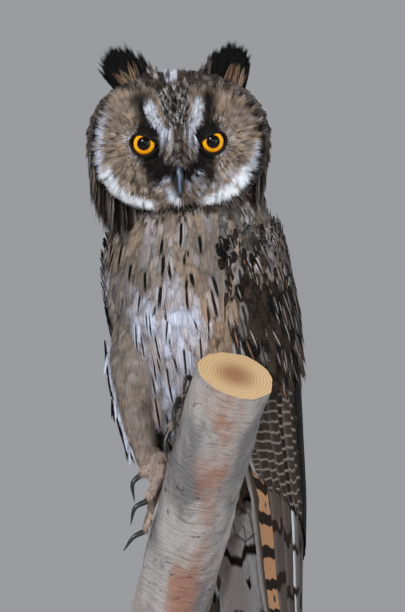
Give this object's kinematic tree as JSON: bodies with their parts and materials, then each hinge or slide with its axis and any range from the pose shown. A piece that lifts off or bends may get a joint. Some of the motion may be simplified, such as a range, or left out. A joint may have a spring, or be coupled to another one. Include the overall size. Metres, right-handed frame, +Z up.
{
  "type": "long eared owl figure on a branch",
  "caption": "Life-size still model of a long-eared owl gripping a short cut branch, held by a rod on a round flat base.",
  "frame": {"origin": "middle of the stand's underside", "axes": "+Z up; the owl's face looks along -Y; +X is to the owl's left"},
  "size_m": [0.23, 0.23, 0.3904],
  "materials": {
    "face": "matt feathered face",
    "breast": "matt buff plumage with dark streaks",
    "flight": "matt barred flight feathers",
    "tuft": "matt near-black feathers",
    "leg": "matt buff down",
    "horn": "satin dark horn",
    "eye": "wet gloss amber",
    "lid": "matt black skin",
    "bark": "rough pale bark",
    "base": "dark stained and waxed",
    "rod": "satin"
  },
  "bodies": {
    "root": {"head": "face", "neck": "breast", "torso": "breast", "bill_upper": "horn", "bill_lower": "horn", "eye_left": "eye", "eye_right": "eye", "eyelids_left": "lid", "eyelids_right": "lid", "ear_tuft_left": "tuft", "ear_tuft_right": "tuft", "wing_left": "flight", "wing_right": "flight", "tail": "flight", "leg_left": "leg", "leg_right": "leg", "foot_left": "leg", "foot_right": "leg", "claw_left_1": "horn", "claw_left_2": "horn", "claw_left_3": "horn", "claw_left_4": "horn", "claw_right_1": "horn", "claw_right_2": "horn", "claw_right_3": "horn", "claw_right_4": "horn", "perch": "bark", "stand_base": "base", "stand_rod": "rod"}
  },
  "joints": []
}
